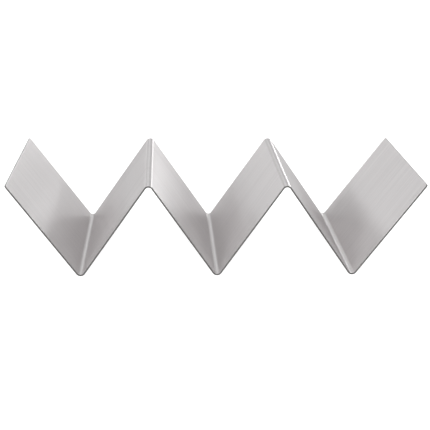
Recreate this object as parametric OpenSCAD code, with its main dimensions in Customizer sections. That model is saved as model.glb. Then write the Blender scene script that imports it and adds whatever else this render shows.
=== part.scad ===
// Zigzag food holder: one strip of stainless sheet, folded across its width
// into a row of upright V pockets with a free flange at each end.
// Folded foods stand in the pockets. Turned over, it has one pocket fewer.
//
// Millimetres, +Z up. The origin is on the table, midway between the two ends
// and midway along the depth. X runs across the folds and Y along them.

/* [Overall] */
// Length over the outer edges of the two free flanges
overall_l = 203.2; // [150:0.1:300]
// Depth along the folds, which is the width of the strip
depth = 101.6; // [40:0.1:200]
// Height of the peaks above the table
peak_h = 45.4; // [25:0.1:80]

/* [Pockets] */
// Number of upright pockets
pockets = 3; // [2:1:5]

/* [Free flanges] */
// Height of each free flange's outer edge above the table
flange_h = 45.4; // [20:0.1:80]
// How much further sideways a free flange reaches than a panel does
flange_flare = 1.7; // [0:0.1:6]
// Radius of the four corners of the strip
corner_r = 1.6; // [0.4:0.1:10]

/* [Sheet] */
// Thickness of the sheet
sheet_t = 0.8; // [0.5:0.1:2]
// Radius on the inside of every fold
inside_r = 1.8; // [0.5:0.1:5]

/* [Hidden] */
$fn = 96;

// An arc crosses the flats that it runs into by this much, instead of only
// touching them, so that arc and flat meet at a definite edge
bite = 0.003;
// How far a cutting shape runs past what it cuts
past = 5 * sheet_t;

// Every fold has the same two radii, so the row stands on all its valleys
outside_r = inside_r + sheet_t;

// A panel reaches half a pitch sideways, and a free flange a little more
half_pitch = (overall_l - 2 * flange_flare) / (2 * pockets);
flange_reach = half_pitch + flange_flare;

// A panel's lower face passes under a valley's axis at the outside radius and
// over a peak's axis at the inside radius, which sets its slope
axis_rise = peak_h - 2 * outside_r;
axis_gap = norm([half_pitch, axis_rise]);
panel_slope = atan2(axis_rise, half_pitch) + asin((outside_r + inside_r - 2 * bite) / axis_gap);

// A free flange runs from the outside of a valley to its own outer edge
edge_rise = flange_h - outside_r;
edge_gap = norm([flange_reach, edge_rise]);
flange_slope = atan2(edge_rise, flange_reach) + asin((outside_r - bite) / edge_gap);

// Outer edge of the right-hand flange in the side view, the direction that the
// flange climbs in, and the direction through its thickness
outer_edge = [overall_l / 2, flange_h];
up_flange = [cos(flange_slope), sin(flange_slope)];
through_flange = [-sin(flange_slope), cos(flange_slope)];
// A height above the whole strip
above_all = max(peak_h, flange_h) + 2 * past;

// The folds are numbered from left to right. Valleys and peaks take turns.
last_fold = 2 * pockets - 2;
function is_valley(fold) = fold % 2 == 0;
function axis_x(fold) = (fold - last_fold / 2) * half_pitch;
function axis_z(fold) = is_valley(fold) ? outside_r : peak_h - outside_r;
function slope_left(fold) = fold == 0 ? flange_slope : panel_slope;
function slope_right(fold) = fold == last_fold ? flange_slope : panel_slope;

// Where the flats on the two sides of a fold pass its axis at a distance: below
// a valley's axis and above a peak's
function flat_ends(fold, distance) =
    let (up = is_valley(fold) ? -1 : 1) [
        [axis_x(fold) - distance * sin(slope_left(fold)),
         axis_z(fold) + up * distance * cos(slope_left(fold))],
        [axis_x(fold) + distance * sin(slope_right(fold)),
         axis_z(fold) + up * distance * cos(slope_right(fold))]
    ];

// Everything above one face of the strip, in the side view. A valley is rounded
// by adding a disc and a peak by taking one away. right_end closes the outline
// from the last flat upwards, and the left end mirrors it.
module above_face(valley_r, peak_r, right_end) {
    left_end = [for (i = [len(right_end) - 1 : -1 : 0]) [-right_end[i][0], right_end[i][1]]];
    flats = [for (fold = [0 : last_fold])
        each flat_ends(fold, (is_valley(fold) ? valley_r : peak_r) - bite)];
    difference() {
        union() {
            polygon(concat(left_end, flats, right_end));
            for (fold = [0 : 2 : last_fold])
                translate([axis_x(fold), axis_z(fold)])
                    circle(r = valley_r);
        }
        for (fold = [1 : 2 : last_fold])
            translate([axis_x(fold), axis_z(fold)])
                circle(r = peak_r);
    }
}

// Side view of the strip: what is above its lower face and not above its upper
// face. The lower face ends square at the flange's edge and the upper one runs on.
module strip_profile() {
    difference() {
        above_face(outside_r, inside_r, [
            outer_edge,
            outer_edge + past * through_flange,
            [outer_edge[0] - past, above_all]
        ]);
        above_face(inside_r, outside_r, [
            outer_edge + sheet_t * through_flange + past * up_flange,
            [outer_edge[0] + 2 * past, above_all + past]
        ]);
    }
}

// What rounding takes off a corner of a free flange. The corner is at the origin,
// with the flange behind it in X and Y.
module corner_waste() {
    linear_extrude(height = 4 * sheet_t, center = true)
        translate([bite - corner_r, bite - corner_r])
            difference() {
                square(corner_r + past);
                circle(r = corner_r);
            }
}

// The whole folded strip
module folded_sheet() {
    color([0.76, 0.75, 0.75])
        difference() {
            rotate([90, 0, 0])
                linear_extrude(height = depth, center = true)
                    strip_profile();
            for (left = [0, 1], front = [0, 1])
                mirror([left, 0, 0])
                    mirror([0, front, 0])
                        translate([outer_edge[0], depth / 2, outer_edge[1]])
                            rotate([0, -flange_slope, 0])
                                corner_waste();
        }
}

folded_sheet();
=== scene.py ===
from math import asin, atan2, cos, hypot, radians, sin, sqrt

import bmesh
import bpy
from mathutils import Matrix, Vector


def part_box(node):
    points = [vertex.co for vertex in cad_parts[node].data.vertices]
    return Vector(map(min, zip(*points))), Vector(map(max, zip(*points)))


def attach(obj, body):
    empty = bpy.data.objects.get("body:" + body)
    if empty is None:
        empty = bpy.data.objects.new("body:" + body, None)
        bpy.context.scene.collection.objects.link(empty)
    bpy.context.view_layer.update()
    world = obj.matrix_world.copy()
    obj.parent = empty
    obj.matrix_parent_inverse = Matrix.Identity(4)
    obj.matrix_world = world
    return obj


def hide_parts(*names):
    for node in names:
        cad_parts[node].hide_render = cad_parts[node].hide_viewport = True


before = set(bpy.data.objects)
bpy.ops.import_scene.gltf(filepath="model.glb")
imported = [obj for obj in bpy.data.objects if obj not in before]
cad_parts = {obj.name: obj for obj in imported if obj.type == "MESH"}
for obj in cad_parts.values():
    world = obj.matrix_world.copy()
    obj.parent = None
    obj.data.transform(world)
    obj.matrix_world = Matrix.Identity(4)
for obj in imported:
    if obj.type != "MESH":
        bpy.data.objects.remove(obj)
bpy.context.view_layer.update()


# ---- Folded strip: the sheet -------------------------------------------------
# The whole holder is one strip of 0.8 mm stainless sheet. It is sheared to length,
# its corners are rounded and its edges deburred, and a press brake then folds it
# five times. Nothing is fixed to it, and it stands on its three valley folds.
mm = 0.001
sheet_low, sheet_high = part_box("folded_sheet")
length_over_flanges = sheet_high.x - sheet_low.x
strip_width = sheet_high.y - sheet_low.y
sheet_thickness = 0.8 * mm
peak_height = 45.4 * mm
flange_edge_height = 45.4 * mm
flange_flare = 1.7 * mm
corner_radius = 1.6 * mm
inside_radius = 1.8 * mm
deburr_width = 0.14 * mm
edge_margin = 0.3 * mm
outside_radius = inside_radius + sheet_thickness
middle_radius = inside_radius + sheet_thickness / 2
pockets = 3
last_fold = 2 * pockets - 2
steps_round_a_fold = 20
steps_round_a_corner = 10

half_pitch = (length_over_flanges - 2 * flange_flare) / (2 * pockets)
valley_axis_height = outside_radius
peak_axis_height = peak_height - outside_radius

# A panel is the straight line that touches both of its folds from opposite sides
axis_rise = peak_axis_height - valley_axis_height
axis_gap = hypot(half_pitch, axis_rise)
panel_slope = atan2(axis_rise, half_pitch) + asin(2 * middle_radius / axis_gap)
panel_length = sqrt(axis_gap ** 2 - (2 * middle_radius) ** 2)

# A free flange runs from the outside of its valley to its own lower corner
flange_reach = half_pitch + flange_flare
edge_rise = flange_edge_height - valley_axis_height
edge_gap = hypot(flange_reach, edge_rise)
flange_slope = atan2(edge_rise, flange_reach) + asin(outside_radius / edge_gap)
flange_length = sqrt(edge_gap ** 2 - outside_radius ** 2)

# The middle of the sheet starts as one line at the left free edge, front to back
strip = bmesh.new()
run_along = strip.verts.layers.float.new("run_along")
folded_here = strip.verts.layers.float.new("folded_here")
left_valley_x = -last_fold / 2 * half_pitch
left_edge_x = left_valley_x - middle_radius * sin(flange_slope) - flange_length * cos(flange_slope)
left_edge_z = valley_axis_height - middle_radius * cos(flange_slope) + flange_length * sin(flange_slope)
front_end = strip.verts.new((left_edge_x, -strip_width / 2, left_edge_z))
back_end = strip.verts.new((left_edge_x, strip_width / 2, left_edge_z))
growing_line = [strip.edges.new((front_end, back_end))]
run = 0.0


def grow_sheet(line, run_there, fold_strain):
    """Extrudes the sheet's last line, and returns the new line and its two points."""
    grown = bmesh.ops.extrude_edge_only(strip, edges=line)["geom"]
    points = [part for part in grown if isinstance(part, bmesh.types.BMVert)]
    for point in points:
        point[run_along] = run_there
        point[folded_here] = fold_strain
    return [part for part in grown if isinstance(part, bmesh.types.BMEdge)], points


def lengthen_flat(line, run_before, length, slope):
    """Runs the sheet on by one flat, which climbs at the slope."""
    line, points = grow_sheet(line, run_before + length, 0.0)
    bmesh.ops.translate(strip, verts=points, vec=(length * cos(slope), 0, length * sin(slope)))
    return line, run_before + length


def fold_sheet(line, run_before, axis_x, axis_z, angle):
    """Rolls the sheet round a fold's axis: a positive angle is a peak, a negative one a valley."""
    step_angle = angle / steps_round_a_fold
    step_run = abs(step_angle) * middle_radius
    for step in range(1, steps_round_a_fold + 1):
        strain = sin(radians(180 * step / steps_round_a_fold))
        line, points = grow_sheet(line, run_before + step * step_run, strain)
        bmesh.ops.rotate(strip, verts=points, cent=(axis_x, 0, axis_z),
                         matrix=Matrix.Rotation(step_angle, 3, "Y"))
    return line, run_before + steps_round_a_fold * step_run


growing_line, run = lengthen_flat(growing_line, run, flange_length, -flange_slope)
for fold in range(last_fold + 1):
    is_valley = fold % 2 == 0
    slope_before = flange_slope if fold == 0 else panel_slope
    slope_after = flange_slope if fold == last_fold else panel_slope
    length_after = flange_length if fold == last_fold else panel_length
    fold_angle = (slope_before + slope_after) * (-1 if is_valley else 1)
    axis_height = valley_axis_height if is_valley else peak_axis_height
    axis_x = (fold - last_fold / 2) * half_pitch
    growing_line, run = fold_sheet(growing_line, run, axis_x, axis_height, fold_angle)
    growing_line, run = lengthen_flat(growing_line, run, length_after,
                                      slope_after if is_valley else -slope_after)

# The upper side is the front of every face
strip.normal_update()
if strip.faces[:][0].normal.z < 0:
    bmesh.ops.reverse_faces(strip, faces=strip.faces[:])

# Where every point lay on the flat strip, from its middle: along it, and across it
flat_strip = strip.loops.layers.uv.new("flat_strip")
for face in strip.faces:
    for corner in face.loops:
        corner[flat_strip].uv = (corner.vert[run_along] - run / 2, corner.vert.co.y)

# Rounded corners, and a narrow margin all round that keeps the flats flat in shading
free_corners = [vert for vert in strip.verts if len(vert.link_edges) == 2]
bmesh.ops.bevel(strip, geom=free_corners, affect="VERTICES", offset=corner_radius,
                offset_type="OFFSET", segments=steps_round_a_corner, profile=0.5, material=-1,
                clamp_overlap=True)
bmesh.ops.inset_region(strip, faces=strip.faces[:], thickness=edge_margin, use_boundary=True,
                       use_even_offset=True, use_interpolate=True)
for face in strip.faces:
    face.smooth = True
strip_mesh = bpy.data.meshes.new("folded_strip")
strip.to_mesh(strip_mesh)
strip.free()
folded_strip = bpy.data.objects.new("folded_strip", strip_mesh)
bpy.context.scene.collection.objects.link(folded_strip)

gauge = folded_strip.modifiers.new("sheet_gauge", "SOLIDIFY")
gauge.thickness = sheet_thickness
gauge.offset = 0.0
gauge.use_even_offset = True
gauge.material_offset_rim = 1
deburr = folded_strip.modifiers.new("deburred_edges", "BEVEL")
deburr.width = deburr_width
deburr.segments = 2
deburr.profile = 0.5
deburr.limit_method = "ANGLE"
deburr.angle_limit = radians(50)

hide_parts("folded_sheet")
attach(folded_strip, "root")


# ---- Folded strip: brushed stainless -----------------------------------------
# Both faces carry a straight satin grain that runs along the strip, put on in the
# coil before cutting. Folds are burnished where the press brake rolled them, and their
# colour is painted lighter there, partly for that burnish and partly as a painted
# highlight along each fold. Edges are burnished lighter where they were deburred.
# Washing and handling leave smudges and hairline scratches.
rub_width = 1.6 * mm
grain_depth = 0.004 * mm
brushed = bpy.data.materials.new("brushed_stainless_face")
brushed.use_nodes = True
nodes, links = brushed.node_tree.nodes, brushed.node_tree.links
steel = nodes["Principled BSDF"]
steel.inputs["Metallic"].default_value = 1.0
steel.inputs["Anisotropic"].default_value = 1.0
steel.inputs["Anisotropic Rotation"].default_value = 0.25
along_grain = nodes.new("ShaderNodeTangent")
along_grain.direction_type = "UV_MAP"
along_grain.uv_map = "flat_strip"
links.new(along_grain.outputs["Tangent"], steel.inputs["Tangent"])
place_on_strip = nodes.new("ShaderNodeUVMap")
place_on_strip.uv_map = "flat_strip"


def strip_noise(along, across, detail, turn=0.0):
    """Noise on the flat strip, with about so many blotches to the metre each way."""
    stretch = nodes.new("ShaderNodeMapping")
    stretch.inputs["Rotation"].default_value = (0, 0, turn)
    stretch.inputs["Scale"].default_value = (along, across, 1)
    links.new(place_on_strip.outputs["UV"], stretch.inputs["Vector"])
    noise = nodes.new("ShaderNodeTexNoise")
    noise.noise_dimensions = "2D"
    noise.inputs["Scale"].default_value = 1.0
    noise.inputs["Detail"].default_value = detail
    links.new(stretch.outputs["Vector"], noise.inputs["Vector"])
    return noise.outputs[0]


def rescaled(value, low, high, to_low, to_high):
    """The value carried from one range to another, and held inside it."""
    spread = nodes.new("ShaderNodeMapRange")
    links.new(value, spread.inputs["Value"])
    for socket, bound in zip(("From Min", "From Max", "To Min", "To Max"), (low, high, to_low, to_high)):
        spread.inputs[socket].default_value = bound
    return spread.outputs["Result"]


def worked(operation, first, second):
    """Two values put together by one arithmetic step."""
    step = nodes.new("ShaderNodeMath")
    step.operation = operation
    links.new(first, step.inputs[0])
    if isinstance(second, float):
        step.inputs[1].default_value = second
    else:
        links.new(second, step.inputs[1])
    return step.outputs["Value"]


fine_grain = strip_noise(22, 3400, 2)
broad_grain = strip_noise(8, 800, 3)
grain = worked("MULTIPLY", worked("ADD", fine_grain, broad_grain), 0.5)
smudges = rescaled(strip_noise(30, 24, 4), 0.42, 0.68, 0.0, 1.0)
hairlines = worked("MAXIMUM", rescaled(strip_noise(14, 1500, 2, radians(24)), 0.70, 0.76, 0.0, 1.0),
                   rescaled(strip_noise(14, 1500, 2, radians(-41)), 0.71, 0.77, 0.0, 1.0))

# How near a point is to the edges of the strip, broken up so that the rub isn't even
strip_axes = nodes.new("ShaderNodeSeparateXYZ")
links.new(place_on_strip.outputs["UV"], strip_axes.inputs["Vector"])
off_middle_u = worked("ABSOLUTE", strip_axes.outputs["X"], 0.0)
off_middle_v = worked("ABSOLUTE", strip_axes.outputs["Y"], 0.0)
near_edge = worked("MAXIMUM", rescaled(off_middle_u, run / 2 - rub_width, run / 2, 0.0, 1.0),
                   rescaled(off_middle_v, strip_width / 2 - rub_width, strip_width / 2, 0.0, 1.0))
edge_rub = worked("MULTIPLY", near_edge, rescaled(strip_noise(90, 90, 3), 0.35, 0.7, 0.2, 1.0))

# The folds are painted lighter along their middle, partly as burnish from the press brake and partly as a
# painted highlight along each fold.
fold_mark = nodes.new("ShaderNodeAttribute")
fold_mark.attribute_name = "folded_here"
fold_burnish_and_painted_highlight = worked("MULTIPLY", fold_mark.outputs["Fac"], rescaled(fine_grain, 0.3, 0.7, 0.6, 1.0))
polish_and_painted_fold_highlight = worked("MAXIMUM", fold_burnish_and_painted_highlight, edge_rub)

steel_tone = nodes.new("ShaderNodeValToRGB")
steel_tone.color_ramp.elements[0].position = 0.30
steel_tone.color_ramp.elements[0].color = (0.555, 0.538, 0.539, 1)
steel_tone.color_ramp.elements[1].position = 0.70
steel_tone.color_ramp.elements[1].color = (0.675, 0.657, 0.658, 1)
links.new(grain, steel_tone.inputs["Fac"])
# Lighter colour along the folds (partly a painted highlight), near the rubbed edges and in the hairlines.
rubbed_and_painted_highlight_tone = nodes.new("ShaderNodeMix")
rubbed_and_painted_highlight_tone.data_type = "RGBA"
rubbed_and_painted_highlight_tone.inputs[7].default_value = (0.72, 0.707, 0.71, 1)
links.new(worked("MAXIMUM", worked("MULTIPLY", polish_and_painted_fold_highlight, 0.35), worked("MULTIPLY", hairlines, 0.25)),
          rubbed_and_painted_highlight_tone.inputs[0])
links.new(steel_tone.outputs["Color"], rubbed_and_painted_highlight_tone.inputs[6])
links.new(rubbed_and_painted_highlight_tone.outputs[2], steel.inputs["Base Color"])

satin = rescaled(grain, 0.3, 0.7, 0.345, 0.385)
smudged = worked("ADD", satin, worked("MULTIPLY", smudges, 0.02))
links.new(worked("SUBTRACT", smudged, worked("MULTIPLY", polish_and_painted_fold_highlight, 0.03)), steel.inputs["Roughness"])

grain_relief = nodes.new("ShaderNodeBump")
grain_relief.inputs["Strength"].default_value = 0.25
grain_relief.inputs["Distance"].default_value = grain_depth
links.new(worked("SUBTRACT", grain, worked("MULTIPLY", hairlines, 0.4)), grain_relief.inputs["Height"])
links.new(grain_relief.outputs["Normal"], steel.inputs["Normal"])
folded_strip.data.materials.append(brushed)


# ---- Folded strip: sheared edge ----------------------------------------------
# The cut face of the sheet is duller than the satin faces, and its colour is painted
# very dark, partly for the dull cut steel and partly as painted shade. The shear
# leaves fine lines in it, straight through the thickness.
cut_edge = bpy.data.materials.new("sheared_steel_edge")
cut_edge.use_nodes = True
edge_nodes, edge_links = cut_edge.node_tree.nodes, cut_edge.node_tree.links
edge_steel = edge_nodes["Principled BSDF"]
edge_steel.inputs["Metallic"].default_value = 1.0
place_on_edge = edge_nodes.new("ShaderNodeUVMap")
place_on_edge.uv_map = "flat_strip"
shear_lines = edge_nodes.new("ShaderNodeTexNoise")
shear_lines.noise_dimensions = "2D"
shear_lines.inputs["Scale"].default_value = 2600
shear_lines.inputs["Detail"].default_value = 3
edge_links.new(place_on_edge.outputs["UV"], shear_lines.inputs["Vector"])
# Very dark colour: partly the cut steel's own dull tone, partly painted shade.
cut_edge_tone_and_painted_shade = edge_nodes.new("ShaderNodeValToRGB")
cut_edge_tone_and_painted_shade.color_ramp.elements[0].position = 0.30
cut_edge_tone_and_painted_shade.color_ramp.elements[0].color = (0.10, 0.098, 0.096, 1)
cut_edge_tone_and_painted_shade.color_ramp.elements[1].position = 0.75
cut_edge_tone_and_painted_shade.color_ramp.elements[1].color = (0.16, 0.157, 0.153, 1)
edge_links.new(shear_lines.outputs[0], cut_edge_tone_and_painted_shade.inputs["Fac"])
edge_links.new(cut_edge_tone_and_painted_shade.outputs["Color"], edge_steel.inputs["Base Color"])
edge_finish = edge_nodes.new("ShaderNodeMapRange")
for socket, bound in zip(("From Min", "From Max", "To Min", "To Max"), (0.3, 0.7, 0.38, 0.52)):
    edge_finish.inputs[socket].default_value = bound
edge_links.new(shear_lines.outputs[0], edge_finish.inputs["Value"])
edge_links.new(edge_finish.outputs["Result"], edge_steel.inputs["Roughness"])
folded_strip.data.materials.append(cut_edge)


# ---- Table --------------------------------------------------------------------
# A plain white table top that runs far beyond the holder. It is matt and gives off
# light of its own, so the holder's shadow hardly shows on it.
table_reach = 6.0
table_sheet = bmesh.new()
bmesh.ops.create_grid(table_sheet, x_segments=1, y_segments=1, size=table_reach)
table_mesh = bpy.data.meshes.new("table_top")
table_sheet.to_mesh(table_mesh)
table_sheet.free()
table_top = bpy.data.objects.new("table_top", table_mesh)
bpy.context.scene.collection.objects.link(table_top)
white_top = bpy.data.materials.new("white_table_top")
white_top.use_nodes = True
top_paint = white_top.node_tree.nodes["Principled BSDF"]
top_paint.inputs["Base Color"].default_value = (0.5, 0.5, 0.5, 1)
top_paint.inputs["Roughness"].default_value = 0.9
top_paint.inputs["Specular IOR Level"].default_value = 0.0
top_paint.inputs["Emission Color"].default_value = (1, 1, 1, 1)
top_paint.inputs["Emission Strength"].default_value = 0.85
table_top.data.materials.append(white_top)


# ---- Studio light --------------------------------------------------------------
# White surroundings, dimmer behind the camera and overhead, with softboxes on the
# ceiling and on both sides. The one at the back on the right draws the bright line
# along each peak, and the small lamp at the right brightens the panels beside it.
aim_height = 0.02
studio = bpy.data.worlds.new("studio")
bpy.context.scene.world = studio
studio.use_nodes = True
surround = studio.node_tree.nodes["Background"]
surround.inputs["Color"].default_value = (1, 1, 1, 1)
look = studio.node_tree.nodes.new("ShaderNodeTexCoord")
split = studio.node_tree.nodes.new("ShaderNodeSeparateXYZ")
studio.node_tree.links.new(look.outputs["Generated"], split.inputs[0])
fades = []
for axis, start, end, dim, full in (("Y", -0.6, 0.1, 0.6, 0.77), ("Z", 1.0, 0.3, 0.85, 1.0)):
    fade = studio.node_tree.nodes.new("ShaderNodeMapRange")
    fade.inputs["From Min"].default_value = start
    fade.inputs["From Max"].default_value = end
    fade.inputs["To Min"].default_value = dim
    fade.inputs["To Max"].default_value = full
    studio.node_tree.links.new(split.outputs[axis], fade.inputs["Value"])
    fades.append(fade.outputs["Result"])
both_fades = studio.node_tree.nodes.new("ShaderNodeMath")
both_fades.operation = "MULTIPLY"
studio.node_tree.links.new(fades[0], both_fades.inputs[0])
studio.node_tree.links.new(fades[1], both_fades.inputs[1])
studio.node_tree.links.new(both_fades.outputs["Value"], surround.inputs["Strength"])

for light_name, place, side_length, watts in (
        ("ceiling_softbox", (0.0, 0.0, 1.40), 1.20, 2.4),
        ("left_softbox", (-0.94, 0.25, 0.70), 0.35, 0.75),
        ("front_left_softbox", (-0.60, -0.80, 0.50), 0.50, 1.5),
        ("back_right_softbox", (0.69, 0.69, 0.70), 0.35, 2.6),
        ("low_back_right_softbox", (0.49, 1.09, 0.13), 0.25, 0.22),
        ("front_right_softbox", (0.60, -0.80, 0.50), 0.50, 0.5),
        ("small_lamp_above_left", (-0.14, 0.0, 0.60), 0.30, 0.35),
        ("small_lamp_at_the_right", (0.135, 0.0, 0.122), 0.03, 0.022)):
    panel = bpy.data.lights.new(light_name, "AREA")
    panel.shape = "SQUARE"
    panel.size = side_length
    panel.energy = watts
    lamp = bpy.data.objects.new(light_name, panel)
    away = Vector(place) - Vector((0, 0, aim_height))
    lamp.matrix_world = Matrix.Translation(Vector(place)) @ away.to_track_quat("Z", "Y").to_matrix().to_4x4()
    bpy.context.scene.collection.objects.link(lamp)


# ---- Camera ---------------------------------------------------------------------
# A long lens, a little left of the holder's middle and about half a metre in front
# of it, that looks about 17 degrees down along the folds. Angles are in degrees.
camera_place = Vector((-27.08, -547.10, 183.58)) * mm
turn_to_the_right = 2.966
look_down = 17.071
lean = 0.639
camera = bpy.data.cameras.new("camera")
camera.sensor_width = 36.0
camera.lens = 90.337
camera.clip_start = 0.05
camera.clip_end = 30
camera_stand = bpy.data.objects.new("camera", camera)
camera_stand.matrix_world = (Matrix.Translation(camera_place)
                             @ Matrix.Rotation(radians(-turn_to_the_right), 4, "Z")
                             @ Matrix.Rotation(radians(90 - look_down), 4, "X")
                             @ Matrix.Rotation(radians(lean), 4, "Z"))
bpy.context.scene.collection.objects.link(camera_stand)
bpy.context.scene.camera = camera_stand
bpy.context.scene.view_settings.view_transform = "Standard"
